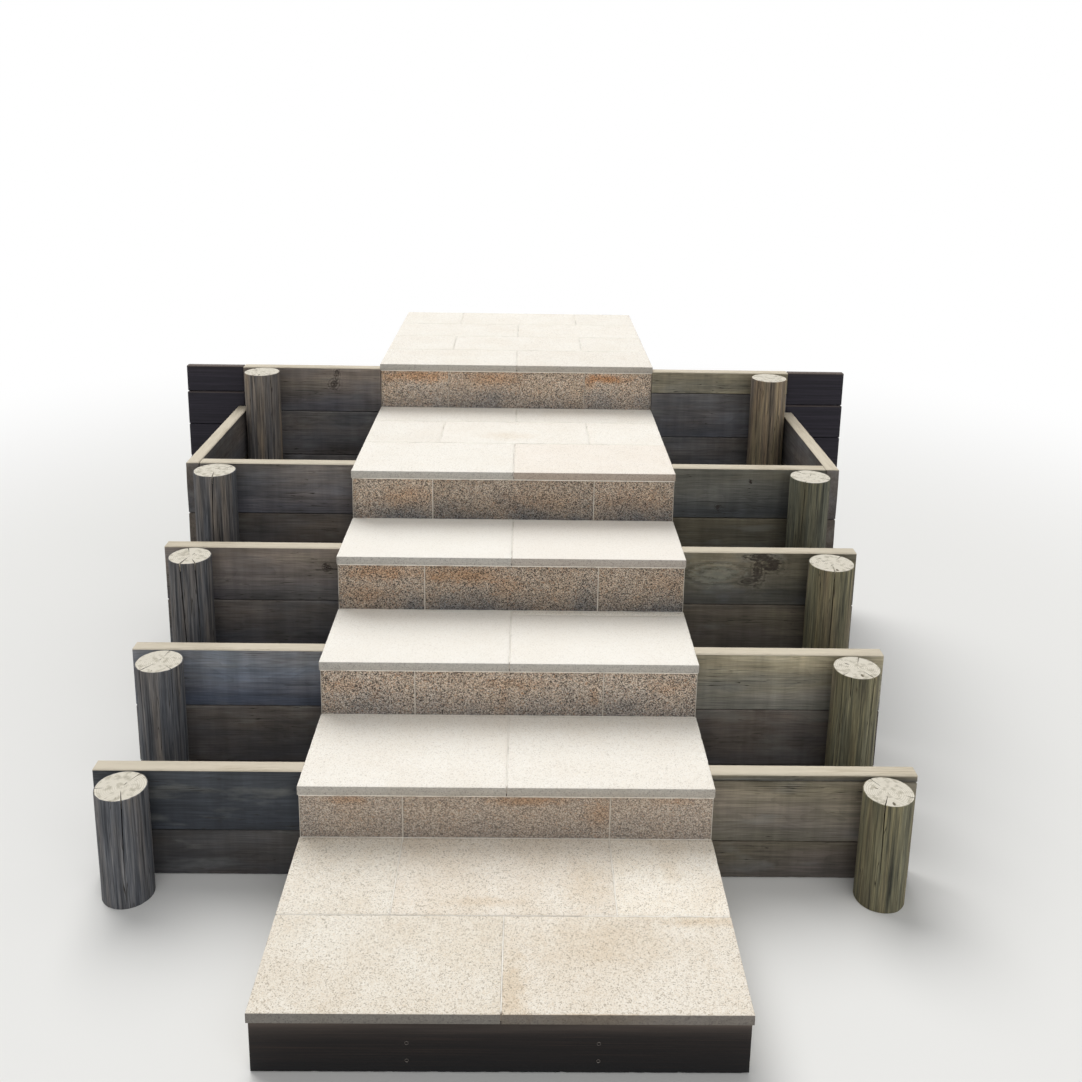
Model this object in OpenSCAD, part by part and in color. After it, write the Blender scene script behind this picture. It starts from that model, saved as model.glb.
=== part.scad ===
// Outdoor stone steps: a flight of granite pavers on a concrete core, with
// treated pine sleeper walls and log posts stepping up on both sides.
// Millimetres. +X right, +Y up the flight, +Z up, origin under the middle.

/* [Flight] */
// Width of the pavers from side to side
flight_w = 1200; // [1200:10:1500]
// Height of the bottom landing above the ground
base_h = 180; // [165:1:220]
// Rises of the five steps, bottom to top
rises = [171, 187, 198, 189, 198]; // [150:1:205]
// Depth of the bottom landing, from its nosing to the next
landing_going = 635; // [620:1:680]
// Depths of the three single treads, from nosing to nosing
tread_goings = [377, 366, 352]; // [330:1:400]
// Depth of the deep fourth tread
deep_going = 862; // [820:1:950]
// Rows of pavers on the top landing
top_rows = 4; // [1:1:6]

/* [Granite] */
// Thickness of the pavers
paver_t = 28; // [20:1:40]
// Thickness of the riser tiles
riser_t = 20; // [12:1:30]
// Short side of a full paver
paver_d = 300; // [250:10:400]
// Width of the joints between pavers
joint_w = 3; // [2:0.5:6]
// How far a nosing stands out past its riser
overhang = 10; // [5:1:30]
// How far a riser stands in from the ends of its nosing
riser_inset = 2; // [0:1:15]
// Eased edge along the top of each paver
arris = 1.5; // [0.5:0.5:4]

/* [Timber] */
// Height of a full sleeper
sleeper_h = 200; // [150:10:250]
// Thickness of a sleeper
sleeper_t = 50; // [40:5:75]
// Outer end of the sleeper walls, from the middle of the flight
wall_reach = 1210; // [1195:5:1400]
// Distance of the sleepers behind their nosing
wall_setback = 75; // [40:5:120]
// Diameters of the log posts on the left, bottom to top
left_log_d = [152, 150, 147, 157, 154]; // [120:1:158]
// Diameters of the log posts on the right, bottom to top
right_log_d = [150, 152, 158, 152, 155]; // [120:1:158]
// Distance of the posts from the middle of the flight
log_x = 1100; // [1000:5:1105]
// Outer end of the stained boards, from the middle of the flight
stained_reach = 1450; // [1300:10:1600]

/* [Hidden] */

$fn = 48;
half_w = flight_w / 2;
quarter_w = flight_w / 4;
row_pitch = paver_d + joint_w;
goings = concat([landing_going], tread_goings, [deep_going]);
total_d = sum_to(goings, 5) + top_rows * row_pitch - joint_w;
front_y = -total_d / 2;

// Places of the nosings: 0 is the bottom landing, 5 the top one
function sum_to(list, n) = n == 0 ? 0 : list[n - 1] + sum_to(list, n - 1);
function nose_y(i) = front_y + sum_to(goings, i);
function top_z(i) = base_h + sum_to(rises, i);

// Joint places across a row: two long pavers, or a long one between halves
pair_cuts = [-half_w, 0, half_w];
half_cuts = [-half_w, -quarter_w, quarter_w, half_w];

bed_t = 4;
bed_setback = overhang + 2;
fascia_t = 25;
fascia_gap = 2;
fascia_h = base_h - paver_t - fascia_gap;
fascia_y = front_y + overhang + 2;
landing_front_d = 326;
landing_back_d = goings[0] + overhang - landing_front_d - 2 * joint_w;
infill_d = 28;
tread_4_front_d = 353;
tread_4_back_d = goings[4] + overhang - tread_4_front_d - paver_d - 3 * joint_w;

board_gap = 2;
least_board = 30;
sleeper_arris = 4;
top_wall_drop = 20;
top_wall_end = 1200;
return_x = 1180;
return_gap = 2;
slim_board_h = 98;
packing_h = 24;
stained_h = 146;
slim_stained_h = 115;
stained_t = 36;
stained_step = 8;
stained_gap = 2;
post_gap = 1;
log_rim = 4;
check_turn = 137.5;
check_count = 6;
// Where the widest check of each post faces, from straight ahead
left_check_at = [20, -35, -12, 8, 40];
right_check_at = [-25, 30, -6, 62, -48];

granite_top = "#e6ddcb";
granite_riser = "#b79f83";
mortar_grey = "#cfc8b8";
pine_grey = "#8c8168";
log_grey = "#9a9377";
dark_stain = "#3a2c28";

// One paver with its top edges eased, from its low corner
module paver(x0, x1, y0, y1, z0, z1) {
    w = x1 - x0;
    d = y1 - y0;
    t = z1 - z0;
    translate([x0, y0, z0])
        intersection() {
            translate([0, d, 0])
                rotate([90, 0, 0])
                    linear_extrude(d)
                        eased_top(w, t);
            rotate([90, 0, 90])
                linear_extrude(w)
                    eased_top(d, t);
        }
}

// Outline of a slab seen end on, with both top corners eased
module eased_top(w, t) {
    polygon([
        [0, 0], [w, 0], [w, t - arris], [w - arris, t], [arris, t], [0, t - arris]
    ]);
}

// A row of pavers between the given cuts, with open joints between them
module paver_row(cuts, y0, d, level) {
    last = len(cuts) - 2;
    z1 = top_z(level);
    for (k = [0:last]) {
        x0 = cuts[k] + (k > 0 ? joint_w / 2 : 0);
        x1 = cuts[k + 1] - (k < last ? joint_w / 2 : 0);
        paver(x0, x1, y0, y0 + d, z1 - paver_t, z1);
    }
}

// The tiles of one riser, standing on the bed of the tread below
module riser_row(i) {
    y0 = nose_y(i) + overhang;
    z0 = top_z(i - 1) - paver_t;
    h = rises[i - 1] - bed_t;
    last = len(half_cuts) - 2;
    for (k = [0:last]) {
        x0 = half_cuts[k] + (k > 0 ? joint_w / 2 : riser_inset);
        x1 = half_cuts[k + 1] - (k < last ? joint_w / 2 : riser_inset);
        translate([x0, y0, z0])
            cube([x1 - x0, riser_t, h]);
    }
}

// Depth of a tread's paver, up to the joint in front of the next riser
function tread_d(i) = goings[i] + overhang - joint_w;

// One cast mass, as wide as the pavers, that the sleepers butt against
module concrete_core() {
    face = overhang + riser_t;
    back = front_y + total_d;
    steps = [
        for (i = [0:5])
            each [
                [i == 0 ? fascia_y + fascia_t : nose_y(i) + face, core_z(i - 1)],
                [i == 0 ? fascia_y + fascia_t : nose_y(i) + face, core_z(i)]
            ]
    ];
    outline = concat(steps, [[back, core_z(5)], [back, 0]]);
    color("#a8a49b")
        translate([-half_w, 0, 0])
            rotate([90, 0, 90])
                linear_extrude(flight_w)
                    polygon(outline);
}

// Height of the concrete under each level of pavers, and of its foot
function core_z(i) = i < 0 ? 0 : top_z(i) - paver_t - bed_t;

// The mortar that each level of pavers is laid in, a pale line below the nosings
module bedding_mortar() {
    side = half_w - riser_inset;
    for (i = [0:5]) {
        y0 = i == 0 ? fascia_y + fascia_t : nose_y(i) + bed_setback;
        y1 = i < 5 ? nose_y(i + 1) + overhang + riser_t : front_y + total_d;
        color(mortar_grey)
            translate([-side, y0, core_z(i)])
                cube([2 * side, y1 - y0, bed_t]);
    }
}

// Stained deck board that closes the foot of the flight
module bottom_fascia() {
    edge = 3;
    w = flight_w - 2 * riser_inset;
    color(dark_stain)
        translate([-w / 2, fascia_y, 0])
            rotate([90, 0, 90])
                linear_extrude(w)
                    polygon([
                        [edge, 0], [fascia_t, 0], [fascia_t, fascia_h],
                        [edge, fascia_h], [0, fascia_h - edge], [0, edge]
                    ]);
}

module landing_front_row() {
    color(granite_top)
        paver_row(pair_cuts, front_y, landing_front_d, 0);
}

module landing_back_row() {
    color(granite_top)
        paver_row(half_cuts, front_y + landing_front_d + joint_w, landing_back_d, 0);
}

module tread_1() {
    color(granite_top)
        paver_row(pair_cuts, nose_y(1), tread_d(1), 1);
}

// The right paver is cut short and made up with a narrow strip
module tread_2() {
    z1 = top_z(2);
    y0 = nose_y(2);
    color(granite_top) {
        paver(-half_w, -joint_w / 2, y0, y0 + tread_d(2), z1 - paver_t, z1);
        short_d = tread_d(2) - infill_d - joint_w;
        paver(joint_w / 2, half_w, y0, y0 + short_d, z1 - paver_t, z1);
    }
}

module tread_2_infill() {
    z1 = top_z(2);
    y1 = nose_y(2) + tread_d(2);
    color(granite_top)
        paver(joint_w / 2, half_w, y1 - infill_d, y1, z1 - paver_t, z1);
}

module tread_3() {
    color(granite_top)
        paver_row(pair_cuts, nose_y(3), tread_d(3), 3);
}

module tread_4_front_row() {
    color(granite_top)
        paver_row(pair_cuts, nose_y(4), tread_4_front_d, 4);
}

module tread_4_middle_row() {
    color(granite_top)
        paver_row(half_cuts, nose_y(4) + tread_4_front_d + joint_w, paver_d, 4);
}

module tread_4_back_row() {
    y0 = nose_y(4) + tread_4_front_d + paver_d + 2 * joint_w;
    color(granite_top)
        paver_row(pair_cuts, y0, tread_4_back_d, 4);
}

// Rows on the top landing, in stretcher bond
module top_landing_row(k) {
    cuts = k % 2 == 1 ? pair_cuts : half_cuts;
    color(granite_top)
        paver_row(cuts, nose_y(5) + (k - 1) * row_pitch, paver_d, 5);
}

module riser(i) {
    color(granite_riser)
        riser_row(i);
}

// A length of sawn sleeper along X, with its long edges eased
module sleeper(x0, x1, h) {
    e = sleeper_arris;
    t = sleeper_t;
    translate([x0, 0, 0])
        rotate([90, 0, 90])
            linear_extrude(x1 - x0)
                polygon([
                    [e, 0], [t - e, 0], [t, e], [t, h - e],
                    [t - e, h], [e, h], [0, h - e], [0, e]
                ]);
}

// Undersides of a stack's boards from the top down, with no sliver at the ground
function stack_bottoms(top, first, h) =
    let (z = top - first)
    z <= least_board ? [0] : concat([z], stack_bottoms(z, h, h));

// A wall of sleepers on edge from the ground up to the given height
module sleeper_stack(x0, x1, top, first) {
    lows = stack_bottoms(top, first, sleeper_h);
    for (k = [0:len(lows) - 1]) {
        high = k == 0 ? top : lows[k - 1] - board_gap;
        translate([0, 0, lows[k]])
            sleeper(x0, x1, high - lows[k]);
    }
}

function wall_y(i) = i < 5 ? nose_y(i) + wall_setback : nose_y(i);
function wall_top(i) = i < 5 ? top_z(i) : top_z(i) - top_wall_drop;
function wall_end(i) = i < 4 ? wall_reach : i == 4 ? return_x - return_gap : top_wall_end;

// side is -1 on the left of the flight and 1 on the right
module side_wall(side, i, first) {
    outer = wall_end(i);
    x0 = side > 0 ? half_w : -outer;
    x1 = side > 0 ? outer : -half_w;
    color(pine_grey)
        translate([0, wall_y(i), 0])
            sleeper_stack(x0, x1, wall_top(i), first);
}

// The sleepers that run back from the end of wall 4 to wall 5
module side_return(side) {
    y0 = wall_y(4);
    y1 = wall_y(5) - return_gap;
    color(pine_grey)
        translate([side > 0 ? return_x + sleeper_t : -return_x, y0, 0])
            rotate([0, 0, 90])
                sleeper_stack(0, y1 - y0, wall_top(4), sleeper_h);
}

// Dark boards that carry the top wall on past the last sleeper; the lower ones
// stand a little forward of the top one, which is slimmer on the left
module stained_boards(side) {
    x0 = side > 0 ? top_wall_end + stained_gap : -stained_reach;
    w = stained_reach - top_wall_end - stained_gap;
    first = side > 0 ? stained_h : slim_stained_h;
    lows = stack_bottoms(wall_top(5), first, stained_h);
    color(dark_stain)
        for (k = [0:len(lows) - 1]) {
            high = k == 0 ? wall_top(5) : lows[k - 1] - board_gap;
            forward = k == 0 ? 0 : stained_step;
            translate([x0, wall_y(5) + stained_step - forward, lows[k]])
                cube([w, stained_t, high - lows[k]]);
        }
}

// A round log with a chamfered rim and the deep checks that drying opens;
// the first check is the widest and faces the way given
module log_post(h, d, facing, seed) {
    r = d / 2;
    difference() {
        rotate_extrude()
            polygon([[0, 0], [r, 0], [r, h - log_rim], [r - log_rim, h], [0, h]]);
        for (k = [0:check_count - 1]) {
            depth = k == 0 ? 0.8 * r : r * (0.3 + 0.12 * sin(seed * 71 + k * 113));
            fall = k == 0 ? 0.95 * h : h * (0.6 + 0.25 * sin(seed * 29 + k * 67));
            drying_check(r, h, facing - 90 + k * check_turn, depth, fall);
        }
    }
}

// One radial split: a wedge that is open at the bark and closes towards the heart
module drying_check(r, h, turn, depth, fall) {
    slope = 0.045;
    out = 2;
    mouth = (depth + out) * slope;
    rotate([0, 0, turn])
        translate([0, 0, h - fall])
            linear_extrude(fall + 1)
                polygon([[r - depth, 0], [r + out, -mouth], [r + out, mouth]]);
}

module side_post(side, i) {
    d = side > 0 ? right_log_d[i - 1] : left_log_d[i - 1];
    facing = side > 0 ? right_check_at[i - 1] : left_check_at[i - 1];
    color(log_grey)
        translate([side * log_x, wall_y(i) - post_gap - d / 2, 0])
            log_post(wall_top(i) - 2, d, facing, side > 0 ? i : i + 5);
}

concrete_core();
bedding_mortar();
bottom_fascia();
landing_front_row();
landing_back_row();
tread_1();
tread_2();
tread_2_infill();
tread_3();
tread_4_front_row();
tread_4_middle_row();
tread_4_back_row();
top_landing_row(1);  // top_landing_row_1
top_landing_row(2);  // top_landing_row_2
top_landing_row(3);  // top_landing_row_3
top_landing_row(4);  // top_landing_row_4
riser(1);  // riser_1
riser(2);  // riser_2
riser(3);  // riser_3
riser(4);  // riser_4
riser(5);  // riser_5
side_wall(-1, 1, sleeper_h);  // left_wall_1
side_wall(-1, 2, sleeper_h);  // left_wall_2
side_wall(-1, 3, sleeper_h);  // left_wall_3
side_wall(-1, 4, sleeper_h);  // left_wall_4
side_wall(-1, 5, sleeper_h);  // left_wall_5
side_wall(1, 1, packing_h);  // right_wall_1
side_wall(1, 2, sleeper_h);  // right_wall_2
side_wall(1, 3, sleeper_h);  // right_wall_3
side_wall(1, 4, sleeper_h);  // right_wall_4
side_wall(1, 5, slim_board_h);  // right_wall_5
side_return(-1);  // left_return
side_return(1);  // right_return
stained_boards(-1);  // left_stained_boards
stained_boards(1);  // right_stained_boards
side_post(-1, 1);  // left_post_1
side_post(-1, 2);  // left_post_2
side_post(-1, 3);  // left_post_3
side_post(-1, 4);  // left_post_4
side_post(-1, 5);  // left_post_5
side_post(1, 1);  // right_post_1
side_post(1, 2);  // right_post_2
side_post(1, 3);  // right_post_3
side_post(1, 4);  // right_post_4
side_post(1, 5);  // right_post_5
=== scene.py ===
# Outdoor stone steps: granite pavers and risers on a concrete core, with treated
# pine sleeper walls and log posts stepping up on both sides of the flight.
# Metres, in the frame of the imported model: +X right, +Y up the flight, +Z up.
import math
import random
from functools import partial

import bmesh
import bpy
import numpy as np
from mathutils import Matrix, Vector, noise


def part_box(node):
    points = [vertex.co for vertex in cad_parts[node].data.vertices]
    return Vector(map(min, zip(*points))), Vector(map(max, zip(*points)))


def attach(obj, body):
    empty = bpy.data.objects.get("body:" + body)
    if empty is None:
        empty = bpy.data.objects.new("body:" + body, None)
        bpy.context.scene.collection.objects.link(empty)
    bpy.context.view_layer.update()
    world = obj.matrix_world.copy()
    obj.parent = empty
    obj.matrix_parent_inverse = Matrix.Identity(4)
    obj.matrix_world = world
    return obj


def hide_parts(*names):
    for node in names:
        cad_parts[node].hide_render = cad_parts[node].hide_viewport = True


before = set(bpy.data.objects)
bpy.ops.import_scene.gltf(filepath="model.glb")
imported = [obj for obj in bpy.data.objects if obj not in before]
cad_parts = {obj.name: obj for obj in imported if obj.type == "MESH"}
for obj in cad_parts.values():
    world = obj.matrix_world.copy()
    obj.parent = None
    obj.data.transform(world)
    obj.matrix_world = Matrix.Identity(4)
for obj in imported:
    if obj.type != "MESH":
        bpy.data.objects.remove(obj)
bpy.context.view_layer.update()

# Camera: a phone held upright at eye height in front of the landing. Its picture
# was kept as the lower square of a taller frame, so the middle of the lens lies
# above the middle of the square and the lens is shifted down by the difference.
FRAME_PX = 1082
FOCAL_PX = 1123.5
LENS_MIDDLE_PX = 360.7
SENSOR_MM = 36.0
eye = Vector((0.038, -4.1165, 2.285))
yaw, pitch, roll = (math.radians(turn) for turn in (0.82, 13.32, 0.92))

lens = bpy.data.cameras.new("camera")
lens.sensor_width = SENSOR_MM
lens.lens = SENSOR_MM * FOCAL_PX / FRAME_PX
lens.shift_y = (LENS_MIDDLE_PX - FRAME_PX / 2) / FRAME_PX
camera = bpy.data.objects.new("camera", lens)
camera.matrix_world = (
    Matrix.Translation(eye)
    @ Matrix.Rotation(-yaw, 4, "Z")
    @ Matrix.Rotation(math.pi / 2 - pitch, 4, "X")
    @ Matrix.Rotation(roll, 4, "Z")
)
scene = bpy.context.scene
scene.collection.objects.link(camera)
scene.camera = camera
scene.view_settings.view_transform = "Standard"


# Studio: a pale matt floor that fades to a white surround, a broad soft light from
# high behind the flight and a weaker one from the front, both from so far off that
# the whole flight gets the same. The treads get the most light, the risers less.
def linear(colour):
    """An sRGB hex colour as linear red, green, blue and alpha."""
    parts = [int(colour[i:i + 2], 16) / 255 for i in (1, 3, 5)]
    return [p / 12.92 if p <= 0.04045 else ((p + 0.055) / 1.055) ** 2.4 for p in parts] + [1.0]


def add_node(tree, kind, *feeds, out=0, stops=(), **named):
    """Adds a shader node and gives back one of its outputs. The word after a dot in kind
    is its operation or the mark that it reads. feeds are its inputs in order, and named
    ones with a capital are inputs as well, each a value, a hex colour, the output that
    drives it or None; the other names are settings. stops are the places and colours of
    a ramp."""
    kind, _, word = kind.partition(".")
    node = tree.nodes.new("ShaderNode" + kind)
    if word:
        setattr(node, {"MixRGB": "blend_type", "Attribute": "attribute_name"}.get(kind, "operation"), word)
    inputs = dict(enumerate(feeds))
    for name, value in named.items():
        if name[0].isupper():
            inputs[name] = value
        else:
            setattr(node, name, value)
    for key, value in inputs.items():
        if isinstance(value, bpy.types.NodeSocket):
            tree.links.new(value, node.inputs[key])
        elif value is not None:
            node.inputs[key].default_value = linear(value) if isinstance(value, str) else value
    if stops:
        ramp = node.color_ramp.elements
        for _ in stops[2:]:
            ramp.new(1.0)
        for stop, (place, colour) in zip(ramp, stops):
            stop.position = place
            stop.color = linear(colour)
    return node.outputs[out] if node.outputs else None


def node_adder(owner):
    """Empties the node tree of a material or world and gives add_node for it."""
    owner.use_nodes = True
    owner.node_tree.nodes.clear()
    return partial(add_node, owner.node_tree)


def new_material(name):
    material = bpy.data.materials.new(name)
    return material, node_adder(material)


FLOOR_REACH, FLOOR_SIDES, FLOOR_DROP = 60.0, 64, 0.0005
FADE_FROM, FADE_TO = 2.4, 6.0
floor_paint, add = new_material("pale_studio_floor")
away = add("VectorMath.LENGTH", add("TexCoord", out="Object"), out="Value")
fade = add("MapRange", away, FADE_FROM, FADE_TO, interpolation_type="SMOOTHSTEP")
seen = add("LightPath", out="Is Camera Ray")
matt = add("BsdfDiffuse", "#eae9e6")
white = add("Emission", "#ffffff", 1.0)
add("OutputMaterial", add("MixShader", add("Math.MULTIPLY", fade, seen), matt, white))

floor_mesh = bpy.data.meshes.new("studio_floor")
around = [2 * math.pi * k / FLOOR_SIDES for k in range(FLOOR_SIDES)]
rim = [(FLOOR_REACH * math.cos(a), FLOOR_REACH * math.sin(a), -FLOOR_DROP) for a in around]
floor_mesh.from_pydata(rim, [], [range(FLOOR_SIDES)])
floor_mesh.materials.append(floor_paint)
floor = bpy.data.objects.new("studio_floor", floor_mesh)
scene.collection.objects.link(floor)

world = bpy.data.worlds.new("studio_air")
scene.world = world
add = node_adder(world)
rays = add("LightPath").node.outputs
seen = add("Math.MAXIMUM", rays["Is Camera Ray"], rays["Is Glossy Ray"])
air = add("Background", "#f4f6f8", 0.36)
surround = add("Background", "#ffffff", 1.0)
add("OutputWorld", add("MixShader", seen, air, surround))

# The side each lamp shines from, its spread in degrees and its strength
LAMPS = {
    "high_soft_light": ((-0.30, 0.62, 1.0), 45, 2.05),
    "front_soft_light": ((0.30, -1.0, 0.72), 70, 0.85),
}
for name, (side_of, spread, strength) in LAMPS.items():
    lamp = bpy.data.lights.new(name, "SUN")
    lamp.angle = math.radians(spread)
    lamp.energy = strength
    holder = bpy.data.objects.new(name, lamp)
    holder.rotation_euler = (-Vector(side_of)).to_track_quat("-Z", "Y").to_euler()
    scene.collection.objects.link(holder)


# Concrete core: one mass cast between sawn form boards, plain grey, with the faint
# lines that the boards left, small air holes and a sandy skin.
BOARD_MM, LINE_MM, PORE_MM = 150.0, 3.0, 16.0


def coat(material, colour, roughness, ior, height, strength, depth, under=None, **more):
    """Ends a material: its colour and gloss over a relief that is depth deep."""
    add = partial(add_node, material.node_tree)
    relief = add("Bump", Height=height, Strength=strength, Distance=depth, Normal=under)
    skin = add("BsdfPrincipled", colour, Roughness=roughness, IOR=ior, Normal=relief, **more)
    add("OutputMaterial", skin)
    return material


def board_marked_concrete():
    """Pale grey, matt and mottled, ridged where form boards met."""
    material, add = new_material("board_marked_concrete")
    place = add("TexCoord", out="Object")
    cloud = add("TexNoise", Vector=place, Scale=4.0, Detail=7.0, Roughness=0.62)
    sand = add("TexNoise", Vector=place, Scale=700.0, Detail=2.0)
    boards = add("Math.MULTIPLY", add("SeparateXYZ", place, out="Z"), 1000 / BOARD_MM)
    line = add("Math.LESS_THAN", add("Math.FRACT", boards), LINE_MM / BOARD_MM)
    pores = add("TexVoronoi", Vector=place, Scale=1000 / PORE_MM, out="Distance")
    skin_or_hole = add("MapRange", pores, 0.06, 0.14)
    tone = add("ValToRGB", cloud, stops=[(0.3, "#8a877f"), (0.5, "#a19d94"), (0.7, "#b4b0a6")])
    pitted = add("MixRGB", skin_or_hole, "#6f6c66", tone)
    relief = add("Math.ADD", skin_or_hole, line)
    sandy = add("Bump", Height=sand, Strength=0.4, Distance=0.0008)
    return coat(material, pitted, 0.9, 1.5, relief, 0.6, 0.002, under=sandy)


def finish_node(node, material):
    """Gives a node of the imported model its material."""
    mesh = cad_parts[node].data
    mesh.materials.clear()
    mesh.materials.append(material)


finish_node("concrete_core", board_marked_concrete())


# Foot board: a decking board stained nearly black, screwed across the foot of the
# flight, with its top edge worn back to red brown. Two pairs of stainless screws
# hold it, each with a small square recess.
def set_in_place(name, parts, material, slot, *nodes, sharp=35.0):
    """Joins parts, each its points, faces and marks, into one piece of the flight."""
    mesh = bpy.data.meshes.new(name)
    points, faces = [], []
    for part_points, part_faces, _ in parts:
        first = len(points)
        points.extend(tuple(p) for p in part_points)
        faces.extend([first + corner for corner in face] for face in part_faces)
    mesh.from_pydata(points, [], faces)
    for mark in parts[0][2]:
        values = np.concatenate([
            np.asarray(marks[mark] if np.ndim(marks[mark]) else [marks[mark]] * len(own), np.float32)
            for own, _, marks in parts
        ])
        kind, field = ("FLOAT_VECTOR", "vector") if values.ndim == 2 else ("FLOAT", "value")
        mesh.attributes.new(mark, kind, "POINT").data.foreach_set(field, values.ravel())
    body = bmesh.new()
    body.from_mesh(mesh)
    bmesh.ops.dissolve_degenerate(body, dist=1e-6, edges=body.edges)
    bmesh.ops.recalc_face_normals(body, faces=body.faces)
    body.to_mesh(mesh)
    body.free()
    mesh.shade_smooth()
    mesh.set_sharp_from_angle(angle=math.radians(sharp))
    mesh.materials.append(material)
    piece = bpy.data.objects.new(name, mesh)
    scene.collection.objects.link(piece)
    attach(piece, "root")
    if nodes:
        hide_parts(*nodes)


def between(low, high, n):
    """The faces between two rings of n points, which start at the points low and high."""
    return [(low + k, low + (k + 1) % n, high + (k + 1) % n, high + k) for k in range(n)]


def skin_over(rings, n):
    """The faces over a number of rings of n points each, one after another."""
    return [face for r in range(rings - 1) for face in between(r * n, (r + 1) * n, n)]


def blot_marks(names, blots, across, up):
    """Marks for knots or stains, each (across, up, reach across, reach up, strength) with
    its sizes in mm: how far each point lies from its middle, in reaches, and its strength."""
    marks = {}
    for name, (*sizes, strength) in zip(names, [*blots, *[NO_BLOT] * len(names)]):
        x, y, reach_x, reach_y = (mm / 1000 for mm in sizes)
        off = (across - x) / reach_x, (up - y) / reach_y
        marks[name] = np.stack([*off, np.full(len(up), strength)], 1)
    return marks


NO_BLOT = (-9000, -9000, 10, 10, 0.0)
KNOT_MARKS = ("knot_one", "knot_two", "knot_three", "knot_four", "knot_five")
ARRIS, WORN = 0.005, 0.0006
ARC = (22.5, 45.0, 67.5)
NICK, NICK_LENGTH = 0.0028, 0.02
CUP = 0.0012
DENT, DENT_LENGTH = 0.0006, 0.07
END_ROUND, END_BAND, END_CLEAR = 0.0018, 0.002, 0.01
SPLIT_STEPS, SPLIT_ROOM = (-0.0034, -0.0014, 0.0, 0.0014, 0.0034), 0.0045
SPLIT_WANDER, SPLIT_WAVE, SPLIT_SHUT, SPLIT_GAPE = 0.006, 0.12, 0.1, 0.25


def sawn_board(
    length, thick, high, seed, pitch=0.012, heart=0.06, knots=(), splits=(), at=(0, 0, 0),
    turned=False, tone=1.0, warmth=0.5, open_top=0.0, damp_and_shade=0.0,
):
    """A board from its low corner, x along it, y through it and z up, with worn edges.
    knots are (along, height, reach along, reach up, darkness), splits (height, from, to,
    depth) in its front, and turned lays it along Y. Marks: grain is each point's place
    from the heart of the tree, tone how light the board is, warmth how far from grey,
    wet rises to damp_and_shade at its foot, for dampness and painted shade,
    and sky is open_top on its top edge and 0 elsewhere."""
    rng = random.Random(seed)
    far, top = thick - ARRIS, high - ARRIS
    levels = [(z, None, 0.0) for z in np.linspace(ARRIS, top, max(3, round(high / pitch)))]
    for k, split in enumerate(splits):
        levels = [level for level in levels if abs(level[0] - split[0]) > SPLIT_ROOM]
        levels += [(split[0] + step, k, step) for step in SPLIT_STEPS]
    levels.sort(key=lambda level: level[0])
    across = np.linspace(ARRIS, far, max(2, round(thick / pitch)))
    coarse = np.linspace(ARRIS, top, max(3, round(high / (2 * pitch))))

    def arris(quarter, y, z):
        turns = [math.radians(a + 90 * quarter) for a in ARC]
        return [(y - ARRIS * math.cos(a), z + ARRIS * math.sin(a), 0, 0, None, 0) for a in turns]

    # Round the end: each point's y and z, which way it faces, and its split and step from it
    loop = [(0.0, z, -1, 0, k, step) for z, k, step in levels] + arris(0, ARRIS, top)
    loop += [(y, high, 0, 1, None, 0) for y in across] + arris(1, far, top)
    loop += [(thick, z, 1, 0, None, 0) for z in coarse[::-1]] + arris(2, far, ARRIS)
    loop += [(y, 0.0, 0, -1, None, 0) for y in across[::-1]] + arris(3, ARRIS, ARRIS)
    middle = np.linspace(END_CLEAR, length - END_CLEAR, max(2, round(length / pitch)))
    stations = np.concatenate([[0.0, END_BAND], middle, [length - END_BAND, length]])
    last = len(stations) - 1
    shift = Vector((seed * 1.7, seed * 3.1, seed * 2.3))
    points, sky = [], []
    for i, x in enumerate(stations):
        inset = END_ROUND if i in (0, last) else 0.0
        for y, z, ny, nz, k, step in loop:
            here = Vector((x, y, z))
            sky.append(open_top if ny == 0 and z > top else 0.0)
            if ny == nz == 0:
                pull = WORN + NICK * max(0.0, noise.noise(here / NICK_LENGTH + shift)) ** 2
                y += pull if y < thick / 2 else -pull
                z += pull if z < high / 2 else -pull
            else:
                dent = DENT * (1 + noise.noise(here / DENT_LENGTH + shift)) / 2
                dent += CUP * (2 * z / high - 1) ** 2 if nz == 0 else 0.0
                y -= ny * dent
                z -= nz * dent
            if k is not None:
                centre, start, stop, depth = splits[k]
                t = (x - start) / (stop - start)
                gape = math.sin(math.pi * t) ** 0.7 if 0 < t < 1 else 0.0
                z += SPLIT_WANDER * noise.noise(Vector((x / SPLIT_WAVE, centre * 40, seed)))
                z += step * (SPLIT_GAPE * gape - SPLIT_SHUT)
                y += depth * gape if step == 0.0 else 0.0
            points.append((x, min(max(y, inset), thick - inset), min(max(z, inset), high - inset)))
    n = len(loop)
    faces = skin_over(last + 1, n)
    for i in (0, last):
        inner = len(points)
        for x, y, z in points[i * n:(i + 1) * n]:
            points.append((x, min(max(y, ARRIS), far), min(max(z, ARRIS), top)))
        sky += [0.0] * n
        faces += between(i * n, inner, n) + [tuple(range(inner, inner + n))]
    local = np.array(points)
    heart_height = high * (0.5 + 0.5 * (rng.random() - 0.5))
    grain = local - np.array([-rng.random() * 9, heart + thick, heart_height])
    # Darker and bluer towards the foot: dampness and painted shade.
    wet = damp_and_shade * np.clip((0.85 - local[:, 2] / high) / 0.7, 0, 1)
    marks = {"grain": grain, "tone": tone, "warmth": warmth, "wet": wet, "sky": sky}
    marks |= blot_marks(KNOT_MARKS, knots, local[:, 0], local[:, 2])
    if turned:
        local = local[:, [1, 0, 2]]
    return local + np.array(at), faces, marks


def along_grain(add, grain, stretch, detail, **more):
    """Noise over the grain, stretch being how often it repeats in a metre on each axis."""
    place = add("Mapping", grain, Scale=stretch)
    return add("TexNoise", **{"Vector": place, "Scale": 1.0, "Detail": detail, **more})


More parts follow.
